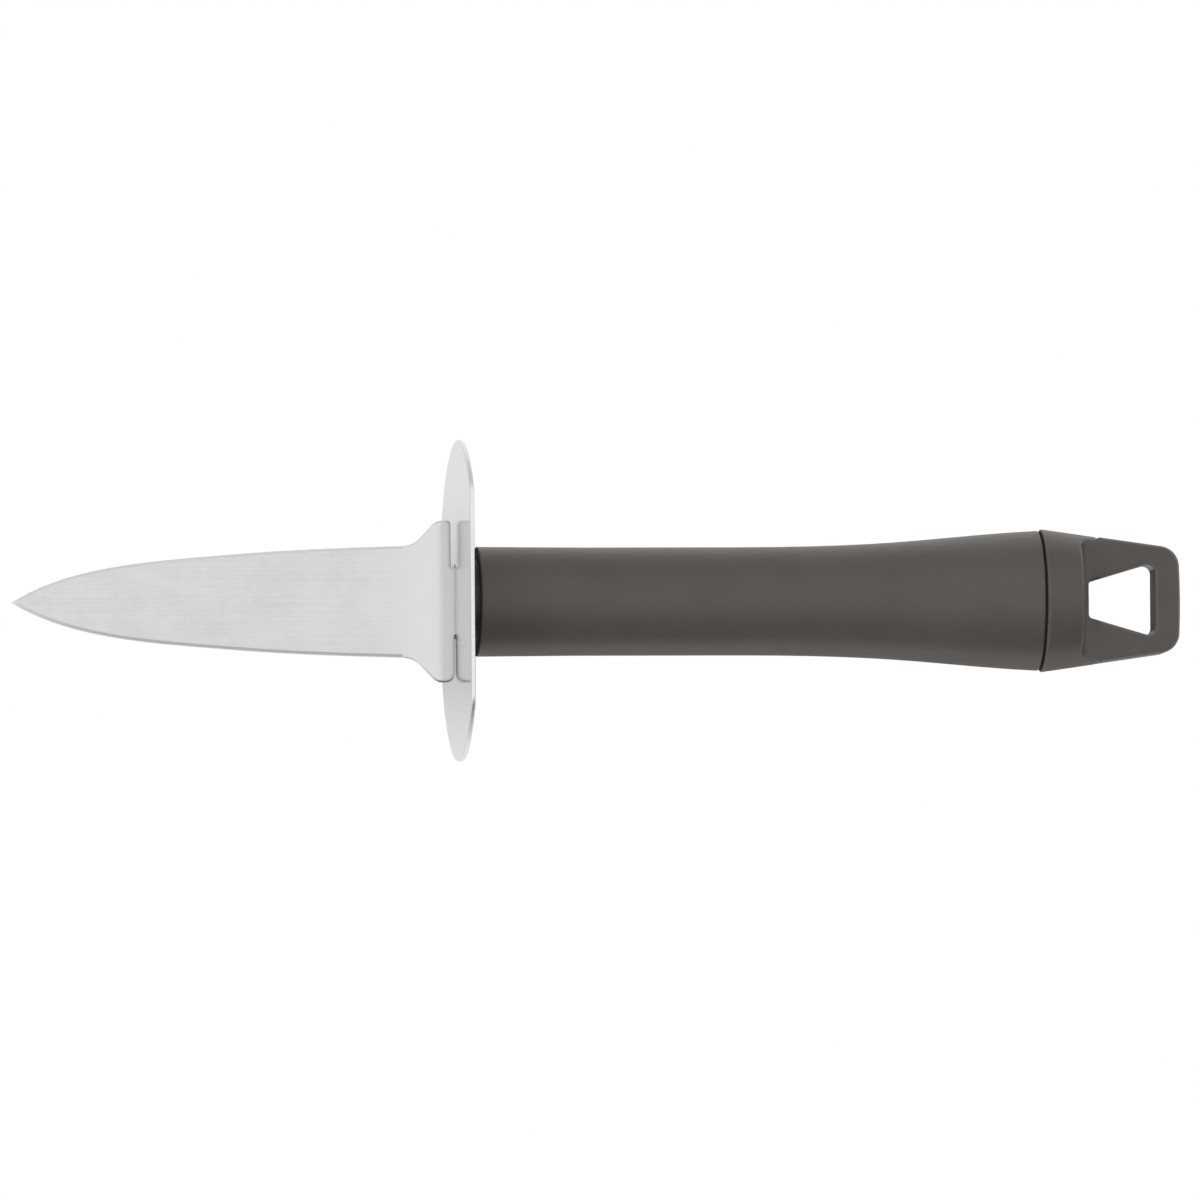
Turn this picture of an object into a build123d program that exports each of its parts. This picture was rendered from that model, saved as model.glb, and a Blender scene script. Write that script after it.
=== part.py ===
from build123d import *
from math import cos, radians, sin, tan
import os

# Oyster knife: a stamped steel blade, a hand guard, and a round hollow handle closed by a cap with a
# hanging tab. Sizes are in millimetres and angles in degrees. The knife lies along X with its point towards
# -X, the flat faces of the blade and of the tab look along +Z and -Z, and the origin is on the handle's axis,
# halfway between the point and the end of the tab.

# Blade: one sheet, with a point, two long edges and two ears that stop the guard
blade_length = 78.0  # from the point to the guard's front face
blade_thickness = 2.0
point_length = 14.9
point_angle = 32.0  # between the middle line and each edge at the point
point_width = 11.15  # at the shoulders, where the point becomes the long edges
edge_middle_share = 0.34  # of the long edge, from the shoulder to the edge's middle point
edge_middle_rise_share = 0.555  # of the long edge's rise, up to the same point
leaf_width = 19.5  # where the ears flare out
leaf_width_angle = 1.5  # at which each edge still widens there
edge_bevel = 0.45
ear_rise = 4.4  # how far each ear stands out from the long edge
ear_top_length = 3.3  # from the flank's crown to the guard's front face
ear_flank_angle = 47.0
ear_flare_radius = 4.4  # the hollow curve from the long edge up to the flank
ear_crown_radius = 2.2
upper_ear_gap = 0.8  # from the upper ear to the guard
upper_heel_radius = 0.5
lower_ear_gap = 0.2  # from the lower ear to the guard
lower_heel_radius = 1.6

# Tang: the narrow end of the same sheet, which runs through the guard into the handle
tang_length = 56.0  # behind the guard's front face
tang_width = 12.0
tang_relief = 0.05  # how far each face of the tang lies below the blade's face
tang_end_radius = 4.0
lock_hole_radius = 2.4
lock_hole_count = 2
lock_hole_spacing = 20.0
lock_hole_setback = 12.0  # from the tang's end to the last hole

# Hand guard: a round plate with one flat side and a slot for the tang
guard_diameter = 56.3
guard_flat_depth = 7.3  # how much of the circle the flat side takes away
guard_corner_radius = 4.0  # where the round side meets the flat side
guard_thickness = 0.8
guard_edge_radius = 0.25
slot_end_clearance = 0.55
slot_side_clearance = 0.15

# Tang core: moulded round the tang, with a collar that shows between the guard and the sleeve
core_radius = 7.5
core_end_wall = 3.0  # behind the tang's end
core_clearance = 0.05
collar_length = 2.9
lock_ring_count = 2
lock_ring_spacing = 24.0
lock_ring_setback = 12.0  # from the sleeve's front to the middle of the first ring
lock_ring_width = 3.0
lock_ring_depth = 0.8

# Handle sleeve: a hollow grip, straight in front and flared towards the cap
sleeve_length = 99.0
nose_radius = 9.62
nose_length = 18.0
nose_edge_radius = 0.15
waist_radius = 9.48
waist_length = 28.0
flare_middle_share = 0.54  # of the flare's length, from the waist to the flare's middle point
flare_middle_rise_share = 0.315  # of the flare's rise, up to the same point
sleeve_end_radius = 12.25
sleeve_end_angle = 2.5
sleeve_end_edge_radius = 0.25
core_bore_margin = 2.0  # how far the narrow bore runs past the core
sleeve_end_wall = 2.25  # round the cap's spigot
cap_bore_margin = 1.5  # how far the wide bore runs past the spigot

# End cap: a turned cone, plugged into the sleeve and cut down on both faces to a flat tab
cap_length = 24.7  # outside the sleeve
seam_gap = 0.4  # the open groove between the sleeve and the cap's rim
seam_depth = 1.2
rim_step = 0.3  # how far the cap's rim stands above the sleeve's end
rim_edge_radius = 0.3
cap_end_radius = 9.09
cap_end_bulge = 0.3
cap_corner_radius = 3.65
cap_hollow_depth = 3.8  # from the seam
spigot_length = 8.5
spigot_wall = 1.8
spigot_clearance = 0.05
snap_ring_width = 1.6
snap_ring_height = 0.35
snap_ring_setback = 4.0  # from the seam to the middle of the ring
tab_thickness = 8.0
tab_edge_radius = 0.5
tab_side_inset = 0.14  # how far the tab's sides lie inside the cone's outline
tab_root_inset = 1.2  # how far inside the cone's outline the sides begin and the cone ends
tab_root_length = 1.6  # over which the sides come out of the cone
scoop_radius = 2.9  # the hollow curve from the tab up to the cone
scoop_setback = 9.8  # from the seam to where the scoops become flat

# Hanging slot: a trapezoid, wider towards the end of the tab
hang_slot_setback = 8.55  # from the seam
hang_slot_end_wall = 4.4  # from the slot to the end of the tab
hang_slot_narrow_width = 6.2
hang_slot_wide_width = 13.2
hang_slot_narrow_corner_radius = 0.7
hang_slot_wide_corner_radius = 1.4

cut_overrun = 1.0  # how far the cap's cuts run out into the air

# Stations along X, worked out from the lengths above
overall_length = blade_length + guard_thickness + collar_length + sleeve_length + cap_length
point_x = -overall_length / 2
shoulder_x = point_x + point_length
guard_x = point_x + blade_length
neck_x = guard_x - min(upper_ear_gap, lower_ear_gap)
tang_end_x = guard_x + tang_length
core_end_x = tang_end_x + core_end_wall
collar_x = guard_x + guard_thickness
nose_x = collar_x + collar_length
waist_x = nose_x + nose_length
grip_flare_x = waist_x + waist_length
seam_x = nose_x + sleeve_length
flare_middle_x = grip_flare_x + flare_middle_share * (seam_x - grip_flare_x)
rim_x = seam_x + seam_gap
cap_end_x = seam_x + cap_length
tab_corner_x = cap_end_x - cap_end_bulge
scoop_x = seam_x + scoop_setback
tab_root_x = scoop_x - tab_root_length / 2
tab_side_x = scoop_x + tab_root_length / 2
slot_start_x = seam_x + hang_slot_setback
slot_end_x = cap_end_x - hang_slot_end_wall
cone_end_x = (scoop_x + slot_end_x) / 2
lock_ring_stations = [
    nose_x + lock_ring_setback + ring * lock_ring_spacing for ring in range(lock_ring_count)
]

# Each ear rises from the leaf by a hollow flare and a straight flank
flare_rise = ear_flare_radius * (1 - cos(radians(ear_flank_angle)))
flank_rise = ear_rise - flare_rise
crown_x = guard_x - ear_top_length
flank_x = crown_x - flank_rise / tan(radians(ear_flank_angle))
flare_x = flank_x - ear_flare_radius * sin(radians(ear_flank_angle))

# Each long edge bows outwards between the shoulder and the flare
edge_middle_x = shoulder_x + edge_middle_share * (flare_x - shoulder_x)
edge_middle_width = point_width + edge_middle_rise_share * (leaf_width - point_width)

# Widths and radii of the parts that fit in or meet one another
tang_thickness = blade_thickness - 2 * tang_relief
guard_radius = guard_diameter / 2
guard_depth = guard_diameter - guard_flat_depth
core_bore_radius = core_radius + core_clearance
lock_ring_radius = core_radius - lock_ring_depth
flare_middle_radius = waist_radius + flare_middle_rise_share * (sleeve_end_radius - waist_radius)
cap_bore_radius = sleeve_end_radius - sleeve_end_wall
cap_bore_length = spigot_length + cap_bore_margin
spigot_radius = cap_bore_radius - spigot_clearance
seam_radius = sleeve_end_radius - seam_depth
rim_radius = sleeve_end_radius + rim_step


def nearest_vertex(sketch, x, y):
    """The corner of a sketch that lies nearest to a place."""
    return sketch.vertices().sort_by_distance((x, y, 0))[0]


def cone_radius(x):
    """The radius of the cap's cone at a station, on the straight line from its rim to the tab's corners."""
    return rim_radius + (cap_end_radius - rim_radius) * (x - rim_x) / (tab_corner_x - rim_x)


# Blade, step one: the leaf, bevelled along its cutting edges before the ears and the tang join it
with BuildPart() as blade:
    with BuildSketch():
        with BuildLine():
            for side in (1, -1):
                Spline(
                    (point_x, 0),
                    (shoulder_x, side * point_width / 2),
                    (edge_middle_x, side * edge_middle_width / 2),
                    (flare_x, side * leaf_width / 2),
                    tangents=(
                        (cos(radians(point_angle)), side * sin(radians(point_angle))),
                        (1, side * tan(radians(leaf_width_angle))),
                    ),
                )
            Line((flare_x, leaf_width / 2), (flare_x, -leaf_width / 2))
        make_face()
    extrude(amount=blade_thickness / 2, both=True)
    chamfer(blade.faces().filter_by(Axis.Z).edges().filter_by(GeomType.BSPLINE), edge_bevel)

    # Step two: each ear flares out of the leaf, runs up its flank and comes back along the guard
    with BuildSketch() as ears:
        for side, gap, heel_radius in (
            (1, upper_ear_gap, upper_heel_radius),
            (-1, lower_ear_gap, lower_heel_radius),
        ):
            heel_x = guard_x - gap
            ear_top = side * (leaf_width / 2 + ear_rise)
            with BuildLine():
                flare = JernArc(
                    (flare_x, side * leaf_width / 2), (1, 0), ear_flare_radius, side * ear_flank_angle
                )
                Polyline(
                    flare @ 1,
                    (crown_x, ear_top),
                    (heel_x, ear_top),
                    (heel_x, 0),
                    (flare_x, 0),
                    flare @ 0,
                )
            make_face()
            fillet(nearest_vertex(ears, crown_x, ear_top), ear_crown_radius)
            fillet(nearest_vertex(ears, heel_x, ear_top), heel_radius)
        with Locations((neck_x, 0)):
            Rectangle(neck_x - flare_x, tang_width, align=(Align.MAX, Align.CENTER))
    extrude(amount=blade_thickness / 2, both=True)

    # Step three: the tang, a little thinner, with holes that the core's plastic fills
    with BuildSketch() as tang:
        with Locations((flare_x, 0)):
            Rectangle(tang_end_x - flare_x, tang_width, align=(Align.MIN, Align.CENTER))
        fillet(tang.vertices().group_by(Axis.X)[-1], tang_end_radius)
        for hole in range(lock_hole_count):
            with Locations((tang_end_x - lock_hole_setback - hole * lock_hole_spacing, 0)):
                Circle(lock_hole_radius, mode=Mode.SUBTRACT)
    extrude(amount=tang_thickness / 2, both=True)

# Hand guard: the tang's slot lies halfway across the flat side, and the rim is rounded on both faces
with BuildPart() as hand_guard:
    with BuildSketch(Plane.YZ.offset(guard_x)) as guard_outline:
        with Locations((0, guard_radius - guard_depth / 2)):
            Circle(guard_radius)
        with Locations((0, guard_depth / 2)):
            Rectangle(
                guard_diameter,
                guard_diameter,
                align=(Align.CENTER, Align.MIN),
                mode=Mode.SUBTRACT,
            )
        fillet(guard_outline.vertices().group_by(Axis.Y)[-1], guard_corner_radius)
        Rectangle(
            tang_width + 2 * slot_end_clearance,
            tang_thickness + 2 * slot_side_clearance,
            mode=Mode.SUBTRACT,
        )
    extrude(amount=guard_thickness)
    for plate_face in hand_guard.faces().filter_by(Axis.X).sort_by(Axis.X):
        fillet(plate_face.outer_wire().edges(), guard_edge_radius)

# Tang core: a plug cast round the tang, so its pocket is the tang's own shape
with BuildPart() as tang_core:
    with BuildSketch(Plane.YZ.offset(collar_x)):
        Circle(core_radius)
    extrude(amount=core_end_x - collar_x)
    for ring_x in lock_ring_stations:
        with BuildSketch(Plane.YZ.offset(ring_x - lock_ring_width / 2)):
            Circle(core_bore_radius)
            Circle(lock_ring_radius, mode=Mode.SUBTRACT)
        extrude(amount=lock_ring_width, mode=Mode.SUBTRACT)
    add(blade.part, mode=Mode.SUBTRACT)


def snap_ring_section(radius):
    """Half the section of a rounded ring that stands out from a radius, as a bead or a groove."""
    front_x = seam_x - snap_ring_setback - snap_ring_width / 2
    rear_x = front_x + snap_ring_width
    with BuildSketch() as section:
        with BuildLine():
            SagittaArc((rear_x, radius), (front_x, radius), -snap_ring_height)
            Polyline(
                (front_x, radius),
                (front_x, radius - snap_ring_height),
                (rear_x, radius - snap_ring_height),
                (rear_x, radius),
            )
        make_face()
    return section.sketch


# Handle sleeve: the outer curve and the stepped bore are one section, turned about the axis
with BuildPart() as handle_sleeve:
    with BuildSketch():
        with BuildLine():
            front = Polyline(
                (core_end_x + core_bore_margin, core_bore_radius),
                (nose_x, core_bore_radius),
                (nose_x, nose_radius),
                (waist_x, waist_radius),
                (grip_flare_x, waist_radius),
            )
            grip_flare = Spline(
                front @ 1,
                (flare_middle_x, flare_middle_radius),
                (seam_x, sleeve_end_radius),
                tangents=((1, 0), (1, tan(radians(sleeve_end_angle)))),
            )
            Polyline(
                grip_flare @ 1,
                (seam_x, cap_bore_radius),
                (seam_x - cap_bore_length, cap_bore_radius),
                front @ 0,
            )
        make_face()
    revolve(axis=Axis.X)
    for end_face, edge_radius in (
        (handle_sleeve.faces().sort_by(Axis.X)[0], nose_edge_radius),
        (handle_sleeve.faces().sort_by(Axis.X)[-1], sleeve_end_edge_radius),
    ):
        fillet(end_face.edges().sort_by(SortBy.RADIUS)[-1], edge_radius)
    revolve(snap_ring_section(cap_bore_radius), axis=Axis.X, mode=Mode.SUBTRACT)

    # Ribs inside the bore stand in the core's rings and lock the sleeve to it
    rib_width = lock_ring_width - 2 * core_clearance
    for ring_x in lock_ring_stations:
        with BuildSketch(Plane.YZ.offset(ring_x - rib_width / 2)):
            Circle((core_bore_radius + waist_radius) / 2)
            Circle(lock_ring_radius + core_clearance, mode=Mode.SUBTRACT)
        extrude(amount=rib_width)

# End cap: first the turned cone with its hollow spigot, which ends inside the tab
with BuildPart() as end_cap:
    with BuildSketch() as cap_section:
        with BuildLine():
            Polyline(
                (seam_x + cap_hollow_depth, 0),
                (seam_x + cap_hollow_depth, spigot_radius - spigot_wall),
                (seam_x - spigot_length, spigot_radius - spigot_wall),
                (seam_x - spigot_length, spigot_radius),
                (seam_x, spigot_radius),
                (seam_x, seam_radius),
                (rim_x, seam_radius),
                (rim_x, rim_radius),
                (scoop_x, cone_radius(scoop_x)),
                (cone_end_x, cone_radius(cone_end_x) - tab_root_inset),
                (cone_end_x, 0),
                close=True,
            )
        make_face()
        fillet(nearest_vertex(cap_section, rim_x, rim_radius), rim_edge_radius)
    revolve(axis=Axis.X)
    revolve(snap_ring_section(spigot_radius), axis=Axis.X)

    # A scoop on each face cuts the cone down to the tab's thickness
    clear_radius = rim_radius + cut_overrun
    with BuildSketch(Plane.XZ):
        with BuildLine():
            scoop = RadiusArc(
                (scoop_x - scoop_radius, tab_thickness / 2 + scoop_radius),
                (scoop_x, tab_thickness / 2),
                -scoop_radius,
            )
            Polyline(
                scoop @ 1,
                (cone_end_x + cut_overrun, tab_thickness / 2),
                (cone_end_x + cut_overrun, clear_radius),
                (scoop_x - scoop_radius, clear_radius),
                scoop @ 0,
            )
        make_face()
        mirror(about=Plane.XZ)
    extrude(amount=clear_radius, both=True, mode=Mode.SUBTRACT)

    # The tab is a flat plate with upright sides, which carry on the cone's outline
    root_reach = cone_radius(tab_root_x) - tab_root_inset
    side_reach = cone_radius(tab_side_x) - tab_side_inset
    corner_reach = cone_radius(tab_corner_x) - tab_side_inset
    with BuildSketch() as tab:
        with BuildLine():
            Polyline(
                (tab_corner_x, corner_reach),
                (tab_side_x, side_reach),
                (tab_root_x, root_reach),
                (tab_root_x, -root_reach),
                (tab_side_x, -side_reach),
                (tab_corner_x, -corner_reach),
            )
            SagittaArc((tab_corner_x, -corner_reach), (tab_corner_x, corner_reach), -cap_end_bulge)
        make_face()
        for side in (1, -1):
            fillet(nearest_vertex(tab, tab_corner_x, side * corner_reach), cap_corner_radius)
    extrude(amount=tab_thickness / 2, both=True)

    # The hanging slot goes through the tab
    with BuildSketch() as hang_slot:
        Polygon(
            (slot_start_x, hang_slot_narrow_width / 2),
            (slot_start_x, -hang_slot_narrow_width / 2),
            (slot_end_x, -hang_slot_wide_width / 2),
            (slot_end_x, hang_slot_wide_width / 2),
            align=None,
        )
        fillet(hang_slot.vertices().group_by(Axis.X)[0], hang_slot_narrow_corner_radius)
        fillet(hang_slot.vertices().group_by(Axis.X)[-1], hang_slot_wide_corner_radius)
    extrude(amount=clear_radius, both=True, mode=Mode.SUBTRACT)

    # The edges of the two flats are rounded behind the line where each scoop runs into its flat
    flat_edges = end_cap.faces().filter_by(Axis.Z).group_by(SortBy.AREA)[-1].edges()
    fillet(flat_edges.filter_by_position(Axis.X, tab_side_x, cap_end_x, (False, True)), tab_edge_radius)

os.makedirs("parts", exist_ok=True)
blade.part.label = "blade"
export_step(blade.part, "parts/blade.step")
hand_guard.part.label = "hand_guard"
export_step(hand_guard.part, "parts/hand_guard.step")
tang_core.part.label = "tang_core"
export_step(tang_core.part, "parts/tang_core.step")
handle_sleeve.part.label = "handle_sleeve"
export_step(handle_sleeve.part, "parts/handle_sleeve.step")
end_cap.part.label = "end_cap"
export_step(end_cap.part, "parts/end_cap.step")
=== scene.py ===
# %% [markdown]
# # An oyster knife, dressed in steel and plastic
#
# The knife comes from CAD with every piece at its real size: a stamped steel blade, a round hand guard with
# one flat side, a plastic core, a round grip and an end cap with a hanging tab. Here each piece gets its
# finish. We set up the camera, the table and the light first, because a polished surface shows little but
# what stands round it.

# %% Load the model
from math import atan2, cos, radians, sin

import bpy
import numpy as np
from mathutils import Matrix, Vector


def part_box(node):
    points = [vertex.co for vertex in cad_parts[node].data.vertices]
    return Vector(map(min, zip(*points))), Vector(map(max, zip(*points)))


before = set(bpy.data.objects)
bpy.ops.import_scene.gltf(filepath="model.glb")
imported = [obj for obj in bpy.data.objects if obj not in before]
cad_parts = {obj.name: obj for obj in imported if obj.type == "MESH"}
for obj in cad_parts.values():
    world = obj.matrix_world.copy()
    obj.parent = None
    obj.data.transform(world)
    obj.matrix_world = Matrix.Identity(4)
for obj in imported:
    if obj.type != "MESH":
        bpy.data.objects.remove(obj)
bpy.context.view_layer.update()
MM = 0.001


def in_mm(lengths):
    """Lengths in metres as rounded millimetres, to print them."""
    return [round(length / MM, 1) for length in lengths]


# %% [markdown]
# ## Landmarks
#
# Finishes change at real places: at the seam, at the guard, where the tab begins. We could type those places
# in as numbers, but we read them from the pieces' own boxes, so that they stay true when the model changes.

# %% Read the landmarks
blade_low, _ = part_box("blade")
guard_low, guard_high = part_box("hand_guard")
sleeve_low, sleeve_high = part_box("handle_sleeve")
_, cap_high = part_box("end_cap")

point_x = blade_low[0]
guard_front_x = guard_low[0]
nose_x = sleeve_low[0]
seam_x = sleeve_high[0]
cap_end_x = cap_high[0]
rim_radius = cap_high[2]
guard_reach = guard_high[2]
print("point, guard, nose, seam, end:", in_mm((point_x, guard_front_x, nose_x, seam_x, cap_end_x)))

# %% [markdown]
# ## How the knife lies
#
# The knife lies on a table with the flat side of its guard up. It touches the table with the round side of
# the guard and with the rim of the cap, so its axis slopes. The knife could be turned to lie like that on a
# level table. But the CAD axes follow the knife, and the model should stay where it is, so here the table
# slopes instead, and the camera looks almost straight down on the table.

# %% Find the slope of the table
RIM_SETBACK = 1 * MM  # from the seam to the edge on which the cap rests

lying_slope = atan2(guard_reach - rim_radius, seam_x + RIM_SETBACK - guard_front_x)
table_right = Vector((cos(lying_slope), 0, sin(lying_slope)))
table_up = Vector((-sin(lying_slope), 0, cos(lying_slope)))
print("the table slopes by", round(lying_slope / radians(1), 2), "degrees")

# %% [markdown]
# ## Camera
#
# The photograph was taken from far away with a very long lens, so there is hardly any perspective. An
# orthographic camera would have none at all, but a long lens is what a photographer has. The picture was
# taken from a little towards the near long edge: the slot in the tab shows a line of its upper wall. It is
# also turned by a fraction of a degree, so that the knife rises towards its right end.

# %% Choose the camera
PHOTO_SIDE = 1200  # pixels
METRES_PER_PIXEL = 0.175 * MM
CAMERA_LENS = 1600
CAMERA_SENSOR = 36
CLIP_REACH = 10  # the camera sees from a tenth of its distance to ten times as far

camera_data = bpy.data.cameras.new("camera")
camera_data.lens = CAMERA_LENS
camera_data.sensor_width = CAMERA_SENSOR
camera_distance = PHOTO_SIDE * METRES_PER_PIXEL * CAMERA_LENS / CAMERA_SENSOR
camera_data.clip_start = camera_distance / CLIP_REACH
camera_data.clip_end = camera_distance * CLIP_REACH
print("camera", round(camera_distance, 2), "m away")

# %% Aim the camera
CAMERA_LEAN = radians(3)
CAMERA_TURN = radians(0.45)
FRAME_CENTRE = Vector((0.85 * MM, 0.28 * MM, 0))

camera_back = (table_up * cos(CAMERA_LEAN) + Vector((0, -1, 0)) * sin(CAMERA_LEAN)).normalized()
level_top = camera_back.cross(table_right).normalized()
camera_right = table_right * cos(CAMERA_TURN) - level_top * sin(CAMERA_TURN)
camera_top = camera_back.cross(camera_right).normalized()
camera = bpy.data.objects.new("camera", camera_data)
camera.matrix_world = Matrix((
    (*camera_right, 0), (*camera_top, 0), (*camera_back, 0), (0, 0, 0, 1),
)).transposed()
camera.matrix_world.translation = FRAME_CENTRE + camera_back * camera_distance
bpy.context.scene.collection.objects.link(camera)
bpy.context.scene.camera = camera
bpy.context.scene.view_settings.view_transform = "Standard"
print("camera at", [round(v, 3) for v in camera.matrix_world.translation])

# %% [markdown]
# ## Table
#
# The camera sees the table as pure white, as in a catalogue photograph. The knife sees something softer: a
# glowing sheet with the knife's own wide shadow along it, a little towards the near side and deeper under the
# handle. Polished steel mirrors that sheet, so this is what makes the far half of the guard lighter than the
# near half. Lamps could light the knife from below as well, but light that comes from a sheet leaves no hard
# shadow. A long way off the sheet is dimmer too, which keeps the sides of the grip dull.

# %% Build the table
TABLE_RADIUS = 0.45
TABLE_RINGS = 12
TABLE_SECTORS = 96
TABLE_CLEARANCE = 0.05 * MM


def disc_mesh(name, centre, right, across, radius, rings, sectors):
    """A flat disc. A point lies at centre + r (cos t right + sin t across), with r from 0 to radius in equal
    rings and t round the circle, and the innermost ring is closed by a fan about the centre."""
    turn = np.linspace(0, 2 * np.pi, sectors, endpoint=False)
    reach = np.linspace(0, radius, rings + 1)[1:]
    spokes = np.cos(turn)[:, None] * np.array(right) + np.sin(turn)[:, None] * np.array(across)
    circles = np.array(centre) + reach[:, None, None] * spokes
    points = np.vstack([np.array(centre)[None], circles.reshape(-1, 3)])
    corner = np.arange(rings * sectors).reshape(rings, sectors) + 1
    following = np.roll(corner, -1, axis=1)
    fan = np.stack([np.zeros(sectors, int), corner[0], following[0]], axis=1)
    quads = np.stack([corner[:-1], corner[1:], following[1:], following[:-1]], axis=-1).reshape(-1, 4)
    mesh = bpy.data.meshes.new(name)
    mesh.from_pydata(points.tolist(), [], fan.tolist() + quads.tolist())
    mesh.update()
    return mesh


lowest_guard_point = Vector((guard_front_x, 0, -guard_reach))
table_centre = lowest_guard_point - lowest_guard_point.dot(table_right) * table_right
table_centre -= table_up * TABLE_CLEARANCE
table = bpy.data.objects.new("table", disc_mesh(
    "table", table_centre, table_right, Vector((0, 1, 0)), TABLE_RADIUS, TABLE_RINGS, TABLE_SECTORS,
))
bpy.context.scene.collection.objects.link(table)
print("table:", len(table.data.polygons), "faces")

# %% [markdown]
# ## Helpers for shading
#
# A material is a graph of nodes. It could be drawn by hand in the shader editor, but a script can be read and
# run again. A few small helpers keep it short: one adds a node and sets its values, and the others use it for
# sums, soft steps and blends.

# %% Add a node
def add_node(tree, kind, inputs=None, **settings):
    """Adds a node of a kind to a tree. A value in inputs is either a plain value or a socket to link from."""
    node = tree.nodes.new(kind)
    for name, value in settings.items():
        setattr(node, name, value)
    for name, value in (inputs or {}).items():
        socket = node.inputs[name]
        if isinstance(value, bpy.types.NodeSocket):
            tree.links.new(value, socket)
        else:
            socket.default_value = value
    return node


def grey(brightness):
    """A colour without a hue."""
    return (brightness, brightness, brightness, 1)


print("a node takes values or sockets, and grey(0.5) is", grey(0.5))

# %% Sums, steps and blends
def calculate(tree, operation, *values):
    """Adds a math node and returns its output."""
    node = add_node(tree, "ShaderNodeMath", dict(enumerate(values)), operation=operation)
    return node.outputs["Value"]


def ramp(tree, value, low, high, to_low=0.0, to_high=1.0):
    """A smooth step from to_low, where value is at low, to to_high, where it is at high. Where low is the
    larger of the two, the step falls as value grows."""
    node = add_node(
        tree, "ShaderNodeMapRange",
        {"Value": value, "From Min": low, "From Max": high, "To Min": to_low, "To Max": to_high},
        interpolation_type="SMOOTHSTEP",
    )
    return node.outputs["Result"]


def blend_values(tree, factor, first, second):
    """Mixes two numbers: first where factor is 0, second where it is 1."""
    return add_node(tree, "ShaderNodeMix", {0: factor, 2: first, 3: second}).outputs[0]


def blend_colours(tree, factor, first, second):
    """Mixes two colours: first where factor is 0, second where it is 1."""
    return add_node(tree, "ShaderNodeMix", {0: factor, 6: first, 7: second}, data_type="RGBA").outputs[2]


def split_vector(tree, vector):
    """The X, Y and Z of a vector, as three sockets."""
    return add_node(tree, "ShaderNodeSeparateXYZ", {0: vector}).outputs


print("helpers:", [made.__name__ for made in (calculate, ramp, blend_values, blend_colours, split_vector)])

# %% Choose the table's glow
CAMERA_WHITE = grey(1)
TABLE_GLOW = 0.98
BLADE_SHADOW_GLOW = 0.66
BLADE_SHADOW_Y = -3.5 * MM
BLADE_SHADOW_REACH = 27 * MM
GRIP_SHADOW_GLOW = 0.40
GRIP_SHADOW_Y = -14 * MM
GRIP_SHADOW_REACH = 45 * MM
NEAR_TABLE = 50 * MM
FAR_TABLE = 160 * MM
FAR_TABLE_SHARE = 0.6

full_grip_shadow_x = nose_x + 8 * MM
print("the table glows from", GRIP_SHADOW_GLOW, "in the grip's shadow to", TABLE_GLOW)

# %% Paint the table
def glow_of_table(tree):
    """The blade's shadow on the left passes into the grip's on the right. Each is darkest along a line beside
    the knife's axis and ends at its reach, and far from the axis the whole sheet is dimmer."""
    place = split_vector(tree, add_node(tree, "ShaderNodeTexCoord").outputs["Object"])
    under_grip = ramp(tree, place["X"], guard_front_x, full_grip_shadow_x)
    glows = []
    for darkest, middle, reach in (
        (BLADE_SHADOW_GLOW, BLADE_SHADOW_Y, BLADE_SHADOW_REACH),
        (GRIP_SHADOW_GLOW, GRIP_SHADOW_Y, GRIP_SHADOW_REACH),
    ):
        off_middle = calculate(tree, "ABSOLUTE", calculate(tree, "SUBTRACT", place["Y"], middle))
        glows.append(ramp(tree, off_middle, 0.0, reach, darkest, TABLE_GLOW))
    shaded = blend_values(tree, under_grip, glows[0], glows[1])
    off_axis = calculate(tree, "ABSOLUTE", place["Y"])
    dimming = ramp(tree, off_axis, NEAR_TABLE, FAR_TABLE, 1.0, FAR_TABLE_SHARE)
    return calculate(tree, "MULTIPLY", shaded, dimming)


def paint_table():
    """White to the camera, a glow with a soft shadow along it for the knife, and clear from underneath."""
    material = bpy.data.materials.new("table_white")
    material.use_nodes = True
    tree = material.node_tree
    tree.nodes.clear()
    to_camera = add_node(tree, "ShaderNodeLightPath").outputs["Is Camera Ray"]
    under = add_node(tree, "ShaderNodeNewGeometry").outputs["Backfacing"]
    sheet = add_node(tree, "ShaderNodeEmission", {"Color": CAMERA_WHITE, "Strength": glow_of_table(tree)})
    white = add_node(tree, "ShaderNodeEmission", {"Color": CAMERA_WHITE})
    clear = add_node(tree, "ShaderNodeBsdfTransparent")
    seen = add_node(tree, "ShaderNodeMixShader", {0: to_camera, 1: sheet.outputs[0], 2: white.outputs[0]})
    whole = add_node(tree, "ShaderNodeMixShader", {0: under, 1: seen.outputs[0], 2: clear.outputs[0]})
    add_node(tree, "ShaderNodeOutputMaterial", {"Surface": whole.outputs[0]})
    return material


table.data.materials.append(paint_table())
print("the table wears", table.data.materials[0].name)

# %% [markdown]
# ## Studio
#
# The room is a softbox overhead. It fades a little towards the far side, and much more towards the near side,
# which draws the dull dark band along the grip and the grey line of the blade's near bevel. It could be built
# from area lamps. The simplest way to hang such a room round an object is the world shader, whose colour is
# worked out from the direction in which a ray leaves.

# %% Hang the studio round the knife
SOFTBOX_WHITE = grey(1)
NEAR_ROOM_GREY = grey(0.25)
FAR_ROOM_GREY = grey(0.62)
SOFTBOX_EDGE = 0.2
ROOM_EDGE = 0.85
FAR_SOFTBOX_EDGE = 0.5
FAR_ROOM_EDGE = 1.0
MOST_RIGHT = 0.12


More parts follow.
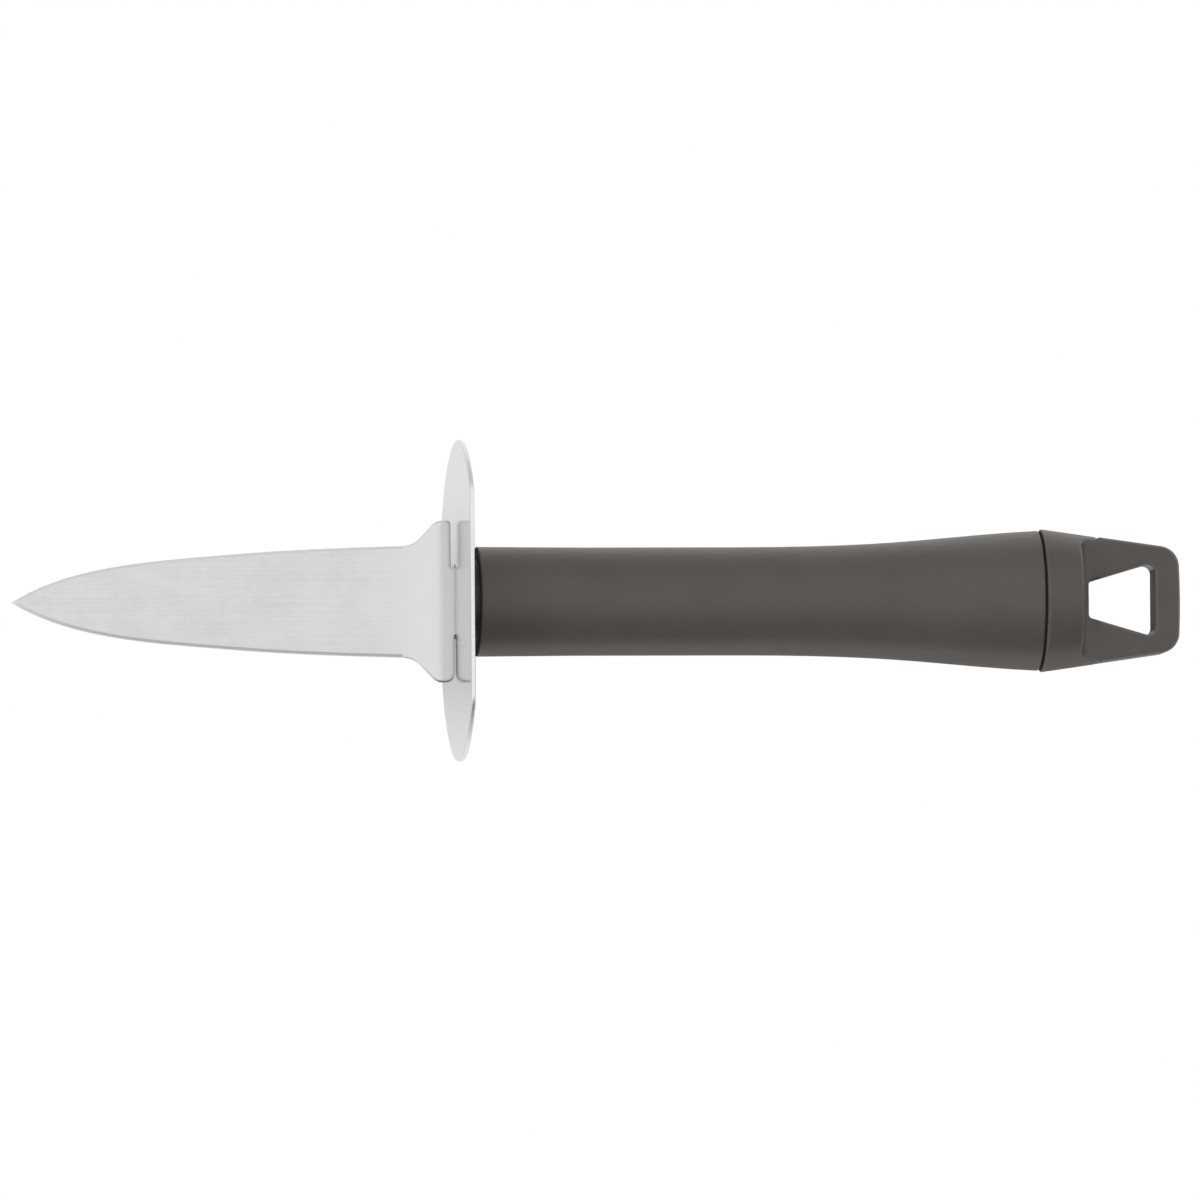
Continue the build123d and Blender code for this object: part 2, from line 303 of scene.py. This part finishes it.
def hang_studio():
    """The room falls from the softbox's white to grey towards -Y, a little sooner on the right than on the
    left, and to a lighter grey towards +Y."""
    world = bpy.data.worlds.new("studio")
    world.use_nodes = True
    tree = world.node_tree
    tree.nodes.clear()
    direction = split_vector(tree, add_node(tree, "ShaderNodeTexCoord").outputs["Generated"])
    rightness = calculate(tree, "MINIMUM", direction["X"], MOST_RIGHT)
    nearness = calculate(tree, "SUBTRACT", rightness, direction["Y"])
    far_side = ramp(tree, direction["Y"], FAR_SOFTBOX_EDGE, FAR_ROOM_EDGE)
    room = blend_colours(tree, far_side, SOFTBOX_WHITE, FAR_ROOM_GREY)
    room = blend_colours(tree, ramp(tree, nearness, SOFTBOX_EDGE, ROOM_EDGE), room, NEAR_ROOM_GREY)
    to_camera = add_node(tree, "ShaderNodeLightPath").outputs["Is Camera Ray"]
    colour = blend_colours(tree, to_camera, room, CAMERA_WHITE)
    light = add_node(tree, "ShaderNodeBackground", {"Color": colour, "Strength": 1.0})
    add_node(tree, "ShaderNodeOutputWorld", {"Surface": light.outputs[0]})
    return world


bpy.context.scene.world = hang_studio()
print("the", bpy.context.scene.world.name, "is hung")

# %% [markdown]
# ## Shared effects
#
# Sheet steel is ground in one direction, which leaves fine parallel streaks. Moulded plastic has a fine
# matt grain and, up close, soft cloudy patches. Both kinds of piece have their edges smoothed, and the
# plastic's edges are also painted lighter, partly as wear and partly as a painted highlight.
# Pictures could show all this, but noise that is worked out in the shader stays sharp at any distance. Each
# effect is a node group, so that the blade, the guard, the grip and the cap share it with their own values.

# %% Helpers for groups
def new_group(name, inputs, outputs):
    """Makes a shader group. inputs maps a name to (socket type, default value), outputs a name to a type."""
    group = bpy.data.node_groups.new(name, "ShaderNodeTree")
    for label, (kind, value) in inputs.items():
        socket = group.interface.new_socket(label, in_out="INPUT", socket_type=kind)
        if value is not None:
            socket.default_value = value
    for label, kind in outputs.items():
        group.interface.new_socket(label, in_out="OUTPUT", socket_type=kind)
    return group, group.nodes.new("NodeGroupInput").outputs, group.nodes.new("NodeGroupOutput").inputs


def seeded_noise(tree, vector, seed, scale, **inputs):
    """Noise in four dimensions. The fourth is the seed, and another seed gives another pattern."""
    inputs = {"Vector": vector, "W": seed, "Scale": scale, **inputs}
    return add_node(tree, "ShaderNodeTexNoise", inputs, noise_dimensions="4D").outputs["Fac"]


print("helpers:", [made.__name__ for made in (new_group, seeded_noise)])

# %% Ground streaks
CLOUDS_PER_LENGTH = 1.6  # how many soft clouds fit into the length of a streak


def make_streaks():
    """Long thin noise. The coordinates are stretched: a streak is Length long along X and Width thick."""
    group, given, out = new_group(
        "ground_streaks",
        {
            "Vector": ("NodeSocketVector", None),
            "Length": ("NodeSocketFloat", 25 * MM),
            "Width": ("NodeSocketFloat", 0.2 * MM),
            "Seed": ("NodeSocketFloat", 0.0),
        },
        {"Streaks": "NodeSocketFloat", "Clouds": "NodeSocketFloat"},
    )
    along = calculate(group, "DIVIDE", 1.0, given["Length"])
    across = calculate(group, "DIVIDE", 1.0, given["Width"])
    scale = add_node(group, "ShaderNodeCombineXYZ", {"X": along, "Y": across, "Z": across}).outputs[0]
    stretched = add_node(group, "ShaderNodeMapping", {"Vector": given["Vector"], "Scale": scale}).outputs[0]
    streaks = seeded_noise(group, stretched, given["Seed"], scale=1.0, Detail=5.0, Roughness=0.65)
    cloud_scale = calculate(group, "DIVIDE", CLOUDS_PER_LENGTH, given["Length"])
    clouds = seeded_noise(group, given["Vector"], given["Seed"], cloud_scale, Detail=2.0)
    group.links.new(streaks, out["Streaks"])
    group.links.new(clouds, out["Clouds"])
    return group


streaks_group = make_streaks()
print("made", streaks_group.name)

# %% Moulded grain
def make_grain():
    """Fine cells for the matt surface, and slow clouds for the uneven tone of a moulded part."""
    group, given, out = new_group(
        "moulded_grain",
        {
            "Vector": ("NodeSocketVector", None),
            "Grain Size": ("NodeSocketFloat", 0.25 * MM),
            "Cloud Size": ("NodeSocketFloat", 9 * MM),
            "Seed": ("NodeSocketFloat", 0.0),
        },
        {"Grain": "NodeSocketFloat", "Clouds": "NodeSocketFloat"},
    )
    for size, made in (("Grain Size", "Grain"), ("Cloud Size", "Clouds")):
        scale = calculate(group, "DIVIDE", 1.0, given[size])
        noise = seeded_noise(group, given["Vector"], given["Seed"], scale, Detail=3.0)
        group.links.new(noise, out[made])
    return group


grain_group = make_grain()
print("made", grain_group.name)

# %% Rubbed edges
ROUNDING_SAMPLES = 8
EDGE_COSINES = (0.995, 0.9)  # between the true and the rounded normal: off an edge, and on it
PATCH_NOISE = (0.35, 0.65)
LEAST_RUBBED_HIGHLIGHT = 0.45


def make_rubbed_edges():
    """Mask is 0 on open faces and rises beside a sharp edge, where the rounded normal leaves the true one. It
    comes in patches, as wear does. Normal is the rounded normal itself, which lets a knife-sharp model edge
    catch light like a real one."""
    group, given, out = new_group(
        "rubbed_edges",
        {
            "Vector": ("NodeSocketVector", None),
            "Width": ("NodeSocketFloat", 0.4 * MM),
            "Patch Size": ("NodeSocketFloat", 3 * MM),
        },
        {"Mask": "NodeSocketFloat", "Normal": "NodeSocketVector"},
    )
    bevel = add_node(group, "ShaderNodeBevel", {"Radius": given["Width"]}, samples=ROUNDING_SAMPLES)
    rounded = bevel.outputs["Normal"]
    true = add_node(group, "ShaderNodeNewGeometry").outputs["Normal"]
    match = add_node(group, "ShaderNodeVectorMath", {0: rounded, 1: true}, operation="DOT_PRODUCT")
    edge = ramp(group, match.outputs["Value"], *EDGE_COSINES)
    scale = calculate(group, "DIVIDE", 1.0, given["Patch Size"])
    patches = add_node(group, "ShaderNodeTexNoise", {"Vector": given["Vector"], "Scale": scale, "Detail": 4.0})
    rubbed_and_highlit = ramp(group, patches.outputs["Fac"], *PATCH_NOISE, LEAST_RUBBED_HIGHLIGHT, 1.0)
    # on the plastics this mask paints edges lighter, partly as wear and partly as a painted highlight
    group.links.new(calculate(group, "MULTIPLY", edge, rubbed_and_highlit), out["Mask"])
    group.links.new(rounded, out["Normal"])
    return group


rubbed_edges_group = make_rubbed_edges()
print("made", rubbed_edges_group.name)

# %% [markdown]
# ## Blade
#
# The blade is stamped from sheet steel. The leaf is then ground along its length, which gives it a satin face
# with soft blotches, and a faint line is left where two passes of the wheel meet. Towards the guard the blade
# turns lighter and smoother, and the ears are lightest. The bevels are ground by hand and stay a duller grey.
# At the heel, where the stamp pushed the sheet over, the near edge is painted dark as shade. Each region could
# have a material of its own, but the borders are soft, so one material does all of it: the place along the
# knife tells leaf from ear, and the direction of the surface's normal tells the face from the bevels and the
# cut edges of the sheet.

# %% Helpers for a finish
def new_material(name):
    """A material with a Principled shader, and the object coordinates that its patterns read."""
    material = bpy.data.materials.new(name)
    material.use_nodes = True
    tree = material.node_tree
    places = add_node(tree, "ShaderNodeTexCoord").outputs["Object"]
    return material, tree, tree.nodes["Principled BSDF"], places


def place_group(tree, group, **inputs):
    """Puts a group into a material's tree. An input's name is written with _ for each space."""
    inputs = {name.replace("_", " "): value for name, value in inputs.items()}
    return add_node(tree, "ShaderNodeGroup", inputs, node_tree=group).outputs


def quarter_turn(tree, places):
    """Turns the coordinates about Z, so that a pattern runs along Y instead of X."""
    return add_node(tree, "ShaderNodeMapping", {"Vector": places, "Rotation": (0, 0, radians(90))}).outputs[0]


def surface_normal(tree, kind):
    """The X, Y and Z of the surface's Normal, or of the True Normal, which isn't smoothed."""
    return split_vector(tree, add_node(tree, "ShaderNodeNewGeometry").outputs[kind])


print("helpers:", [made.__name__ for made in (new_material, place_group, quarter_turn, surface_normal)])

# %% Join a finish to its shader and put it on
def add_bump(tree, height, normal, strength, depth):
    """Shades the surface as if height, from 0 to 1, raised it by up to depth. The mesh stays as it is."""
    inputs = {"Strength": strength, "Distance": depth, "Height": height, "Normal": normal}
    return add_node(tree, "ShaderNodeBump", inputs).outputs[0]


def wire_finish(tree, shader, colour, roughness, normal):
    """Links the three patterns of a finish to its shader."""
    for name, pattern in (("Base Color", colour), ("Roughness", roughness), ("Normal", normal)):
        tree.links.new(pattern, shader.inputs[name])


def dress(node_name, material):
    """Gives a CAD node its finish, in all its material slots."""
    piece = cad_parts[node_name]
    for slot in piece.material_slots:
        slot.material = material
    print(node_name, "wears", material.name)


print("helpers:", [made.__name__ for made in (add_bump, wire_finish, dress)])

# %% Choose the blade's tones
LEAF_LIGHT = grey(0.715)
LEAF_DARK = grey(0.64)
# the blade turns lighter towards the guard and is lightest on the ears
EAR_STEEL = grey(0.73)
BEVEL_STEEL = (0.85, 0.85, 0.86, 1)
GRIND_STEEL = grey(0.70)
# painted shade: the dark tone of the near edge at the heel
HEEL_EDGE_SHADE_STEEL = grey(0.22)

STREAK_SHARE, CLOUD_SHARE, GRAIN_SHARE = 0.5, 0.3, 0.2
LEAF_NOISE = (0.36, 0.64)
LEAF_ROUGHNESS = (0.26, 0.22)  # where the leaf is dark, and where it is light
EAR_ROUGHNESS = 0.1
BEVEL_ROUGHNESS = 0.5
print("the leaf's roughness goes from", LEAF_ROUGHNESS[0], "to", LEAF_ROUGHNESS[1])

# %% Find the places along the blade
GRIND_WIDTH = 1.7 * MM
LEAF_EDGE_WIDTH = 0.3 * MM
EAR_EDGE_WIDTH = 0.9 * MM

grind_start_x, grind_start_y = point_x + 17 * MM, 5.2 * MM
grind_end_x, grind_end_y = point_x + 40 * MM, 0.6 * MM
grind_full_x = grind_start_x + 6 * MM
grind_fading_x = grind_end_x - 12 * MM
leaf_end_x = guard_front_x - 19 * MM
heel_x = guard_front_x - 9 * MM
ear_start_x = guard_front_x - 2 * MM
full_heel_shade_x = guard_front_x - 1 * MM
print("the leaf's grinding fades out between, in mm:", in_mm((leaf_end_x, ear_start_x)))

# %% Trace the grind line
def trace_grind_line(tree, places):
    """1 on a line that falls across the leaf from one point to another, and fades out at both its ends."""
    place = split_vector(tree, places)
    line = ramp(tree, place["X"], grind_start_x, grind_end_x, grind_start_y, grind_end_y)
    distance = calculate(tree, "ABSOLUTE", calculate(tree, "SUBTRACT", place["Y"], line))
    near = ramp(tree, distance, GRIND_WIDTH, 0.0)
    begun = ramp(tree, place["X"], grind_start_x, grind_full_x)
    ended = ramp(tree, place["X"], grind_end_x, grind_fading_x)
    return calculate(tree, "MULTIPLY", near, calculate(tree, "MULTIPLY", begun, ended))


print("the grind line begins and ends at, in mm:", in_mm((grind_start_x, grind_end_x)))

# %% Tell the regions of the blade apart
BEVEL_FLATNESS = (0.97, 0.9)
FACE_FLATNESS = (0.5, 0.9)
NEAR_EDGE_TURN = (-0.1, -0.5)


def find_blade_regions(tree, along, rolled):
    """Three masks. heel is 1 on the ears. bevel is 1 where the sheet looks neither up nor down. The third is 1
    where the rolled normal turns to the near side on a face of the sheet, close to the guard: it paints the
    near edge at the heel dark as shade."""
    flatness = calculate(tree, "ABSOLUTE", surface_normal(tree, "True Normal")["Z"])
    heel = ramp(tree, along, leaf_end_x, ear_start_x)
    bevel = ramp(tree, flatness, *BEVEL_FLATNESS)
    near_side = ramp(tree, split_vector(tree, rolled)["Y"], *NEAR_EDGE_TURN)
    near_edge = calculate(tree, "MULTIPLY", near_side, ramp(tree, flatness, *FACE_FLATNESS))
    # this mask paints the near edge at the heel dark as shade
    heel_edge_shade = calculate(tree, "MULTIPLY", near_edge, ramp(tree, along, heel_x, full_heel_shade_x))
    return heel, bevel, heel_edge_shade


print("the burr grows between, in mm:", in_mm((heel_x, full_heel_shade_x)))

# %% Finish the blade
def finish_blade():
    """Satin steel: streaks and blotches move the tone and the roughness, and fine streaks the height."""
    material, tree, steel, places = new_material("blade_steel_ground")
    along = split_vector(tree, places)["X"]
    face = place_group(tree, streaks_group, Vector=places, Length=20 * MM, Width=0.16 * MM)
    blotches = place_group(tree, grain_group, Vector=places, Grain_Size=1.3 * MM, Cloud_Size=7 * MM, Seed=2.0)
    turned = quarter_turn(tree, places)
    edge = place_group(tree, streaks_group, Vector=turned, Length=1.5 * MM, Width=0.08 * MM)
    edge_width = ramp(tree, along, heel_x, ear_start_x, LEAF_EDGE_WIDTH, EAR_EDGE_WIDTH)
    rolled = place_group(tree, rubbed_edges_group, Vector=places, Width=edge_width)["Normal"]
    heel, bevel, heel_edge_shade = find_blade_regions(tree, along, rolled)

    streaky = calculate(tree, "MULTIPLY", face["Streaks"], STREAK_SHARE)
    cloudy = calculate(tree, "MULTIPLY_ADD", blotches["Clouds"], CLOUD_SHARE, streaky)
    tone = calculate(tree, "MULTIPLY_ADD", blotches["Grain"], GRAIN_SHARE, cloudy)
    leaf = blend_colours(tree, ramp(tree, tone, *LEAF_NOISE), LEAF_DARK, LEAF_LIGHT)
    leaf = blend_colours(tree, trace_grind_line(tree, places), leaf, GRIND_STEEL)
    satin = blend_colours(tree, heel, leaf, EAR_STEEL)
    colour = blend_colours(tree, heel_edge_shade, blend_colours(tree, bevel, satin, BEVEL_STEEL), HEEL_EDGE_SHADE_STEEL)

    leaf_roughness = ramp(tree, tone, *LEAF_NOISE, *LEAF_ROUGHNESS)
    satin_roughness = blend_values(tree, heel, leaf_roughness, EAR_ROUGHNESS)
    roughness = blend_values(tree, bevel, satin_roughness, BEVEL_ROUGHNESS)
    height = blend_values(tree, bevel, face["Streaks"], edge["Streaks"])
    bump = add_bump(tree, height, rolled, strength=0.15, depth=0.008 * MM)
    steel.inputs["Metallic"].default_value = 1.0
    wire_finish(tree, steel, colour, roughness, bump)
    return material


dress("blade", finish_blade())

# %% [markdown]
# ## Hand guard
#
# The guard is punched from thinner sheet and its front is polished: it mirrors the ears of the blade and the
# table. Polishing along its height leaves very fine lines and a few soft smears. Its rim is where the punch
# cut the sheet, so it has short lines across the thickness. The side that faces the hand is left dull, and its
# colour is painted darker as shade for the narrow gap behind the guard. Painting the three by hand would need
# a map of the surface, but the normal tells them apart, because the faces look along X.

# %% Choose the guard's tones
GUARD_LIGHT = grey(0.57)
GUARD_DARK = grey(0.53)
# painted shade: the darker tone of the guard's rear face, for the narrow gap between it and the grip
GUARD_BACK_SHADE = grey(0.42)
RIM_LIGHT = grey(0.88)
RIM_DARK = grey(0.76)

RIM_TURN = (0.85, 0.4)  # how far the normal lies along X: on a face, and on the rim
BACK_TURN = (0.93, 0.98)
LINE_NOISE = (0.3, 0.7)
POLISH_ROUGHNESS = (0.14, 0.2)
RIM_ROUGHNESS = 0.3
BACK_ROUGHNESS = 0.5
print("the polish's roughness goes from", POLISH_ROUGHNESS[0], "to", POLISH_ROUGHNESS[1])

# %% Finish the guard
def finish_guard():
    """Polished steel with fine upright lines, a duller rim, and a dull rear face painted darker as shade."""
    material, tree, steel, places = new_material("guard_steel_polished")
    turned = quarter_turn(tree, places)
    lines = place_group(tree, streaks_group, Vector=turned, Length=12 * MM, Width=0.3 * MM, Seed=3.0)
    shear = place_group(tree, streaks_group, Vector=places, Length=1.2 * MM, Width=0.35 * MM, Seed=6.0)
    rolled = place_group(tree, rubbed_edges_group, Vector=places, Width=0.15 * MM)["Normal"]
    sideways = surface_normal(tree, "Normal")["X"]
    rim = ramp(tree, calculate(tree, "ABSOLUTE", sideways), *RIM_TURN)
    dull_shaded_back = ramp(tree, sideways, *BACK_TURN)

    polished = blend_colours(tree, lines["Clouds"], GUARD_DARK, GUARD_LIGHT)
    sheared = blend_colours(tree, ramp(tree, shear["Streaks"], *LINE_NOISE), RIM_DARK, RIM_LIGHT)
    # the rear face is painted darker as shade
    colour = blend_colours(tree, dull_shaded_back, blend_colours(tree, rim, polished, sheared), GUARD_BACK_SHADE)

    smooth = ramp(tree, lines["Streaks"], *LINE_NOISE, *POLISH_ROUGHNESS)
    front_roughness = blend_values(tree, rim, smooth, RIM_ROUGHNESS)
    roughness = blend_values(tree, dull_shaded_back, front_roughness, BACK_ROUGHNESS)
    bump = add_bump(tree, lines["Streaks"], rolled, strength=0.1, depth=0.005 * MM)
    steel.inputs["Metallic"].default_value = 1.0
    wire_finish(tree, steel, colour, roughness, bump)
    return material


dress("hand_guard", finish_guard())

# %% [markdown]
# ## Grip, core and cap
#
# These are moulded in a warm dark grey plastic. Under the soft light it looks quite matt, with a broad dull
# sheen along the far side. The grain is so fine that it shows as softness, and the tone drifts a little from
# place to place. The cap and the grip come from different moulds, so the cap is a shade darker. The lips of
# the seam, the ridge over the tab, the edges of the slot and the sides of the tab are painted a little
# lighter, partly as wear and partly as a painted highlight on their edges. The end faces that look forward,
# into the gap behind the guard and into the seam, keep the coarse texture of the mould and are painted dark as
# shade, and so, more weakly, is the slot's right wall. One function makes all three plastics, because they
# differ only in their tones and in how wide their lighter edges are.

# %% Choose the plastics' tones
GRIP_LIGHT = (0.086, 0.073, 0.065, 1)
GRIP_DARK = (0.078, 0.066, 0.058, 1)
CAP_LIGHT = (0.083, 0.071, 0.063, 1)
CAP_DARK = (0.074, 0.063, 0.056, 1)
CORE_LIGHT = (0.040, 0.035, 0.031, 1)
CORE_DARK = (0.034, 0.030, 0.026, 1)
# the edges' lighter tones are partly wear and partly a painted highlight
GRIP_RUBBED_HIGHLIGHT = (0.135, 0.122, 0.112, 1)
CAP_RUBBED_HIGHLIGHT = (0.165, 0.150, 0.138, 1)
# painted shade: the dark tone of faces that look into the gap behind the guard, into the seam and, more
# weakly, into the slot
GAP_SHADE_TONE = (0.065, 0.058, 0.052, 1)

DRIFT_NOISE = (0.35, 0.65)
GRAIN_NOISE = (0.3, 0.7)
MATT_ROUGHNESS = (0.36, 0.44)
RUBBED_ROUGHNESS = 0.3
UNWORN_ROUGHNESS = 1.0
print("the plastic's roughness goes from", MATT_ROUGHNESS[0], "to", MATT_ROUGHNESS[1])

# %% Tell worn plastic from unworn
TAB_SIDE_TURN = (0.995, 0.9)  # how far the normal lies along Z: on the tab's faces, and on its sides
FORWARD_TURN = (-0.8, -0.95)
MOST_RUBBED_HIGHLIGHT = 0.8
SLOT_WALL_SHARE = 0.6

tab_x = cap_end_x - 14.5 * MM
full_tab_x = tab_x + 1 * MM
seam_end_x = seam_x + 3 * MM
slot_side_x = seam_x + 4 * MM


def find_plastic_regions(tree, places, rubbed_and_highlit):
    """Two masks. The first is the mask of the edges, and from tab_x on, where the piece is flat, also of all
    that looks neither up nor down; it paints these lighter, partly as wear and partly as a painted highlight.
    forward is 1 on faces that look to the point, and less in the tab's slot; it paints them dark as shade."""
    looks = surface_normal(tree, "True Normal")
    along = split_vector(tree, places)["X"]
    upright = ramp(tree, calculate(tree, "ABSOLUTE", looks["Z"]), *TAB_SIDE_TURN)
    tab_side = calculate(tree, "MULTIPLY", upright, ramp(tree, along, tab_x, full_tab_x))
    # the edges, and the tab's sides, are painted lighter: partly wear, partly a painted highlight
    worn_and_highlit = calculate(tree, "MULTIPLY", calculate(tree, "MAXIMUM", rubbed_and_highlit, tab_side), MOST_RUBBED_HIGHLIGHT)
    in_gap = ramp(tree, along, seam_end_x, slot_side_x, 1.0, SLOT_WALL_SHARE)
    # forward paints these faces dark as shade
    forward = calculate(tree, "MULTIPLY", ramp(tree, looks["X"], *FORWARD_TURN), in_gap)
    return worn_and_highlit, forward


print("the tab's sides fade in between, in mm:", in_mm((tab_x, full_tab_x)))

# %% Finish the plastic
def finish_plastic(name, light, dark, rub_and_highlight, seed, edge_width):
    """Matt moulded plastic. light and dark are the tones it drifts between, and its edges take a lighter tone
    that is partly wear and partly a painted highlight.
    """
    material, tree, plastic, places = new_material(name)
    grain = place_group(tree, grain_group, Vector=places, Grain_Size=0.22 * MM, Cloud_Size=11 * MM, Seed=seed)
    edges = place_group(tree, rubbed_edges_group, Vector=places, Width=edge_width, Patch_Size=2.5 * MM)
    worn_and_highlit, forward = find_plastic_regions(tree, places, edges["Mask"])

    tone = blend_colours(tree, ramp(tree, grain["Clouds"], *DRIFT_NOISE), dark, light)
    colour = blend_colours(tree, forward, blend_colours(tree, worn_and_highlit, tone, rub_and_highlight), GAP_SHADE_TONE)
    matt = ramp(tree, grain["Grain"], *GRAIN_NOISE, *MATT_ROUGHNESS)
    worn_roughness = blend_values(tree, worn_and_highlit, matt, RUBBED_ROUGHNESS)
    roughness = blend_values(tree, forward, worn_roughness, UNWORN_ROUGHNESS)
    bump = add_bump(tree, grain["Grain"], edges["Normal"], strength=0.3, depth=0.015 * MM)
    wire_finish(tree, plastic, colour, roughness, bump)
    return material


# piece, material, light and dark tones, lighter edge tone (wear and painted highlight), seed, edge width
for node_name, *finish in (
    ("handle_sleeve", "grip_plastic", GRIP_LIGHT, GRIP_DARK, GRIP_RUBBED_HIGHLIGHT, 1.0, 0.4 * MM),
    ("end_cap", "cap_plastic", CAP_LIGHT, CAP_DARK, CAP_RUBBED_HIGHLIGHT, 5.0, 0.9 * MM),
    ("tang_core", "core_plastic", CORE_LIGHT, CORE_DARK, GRIP_RUBBED_HIGHLIGHT, 9.0, 0.4 * MM),
):
    dress(node_name, finish_plastic(*finish))
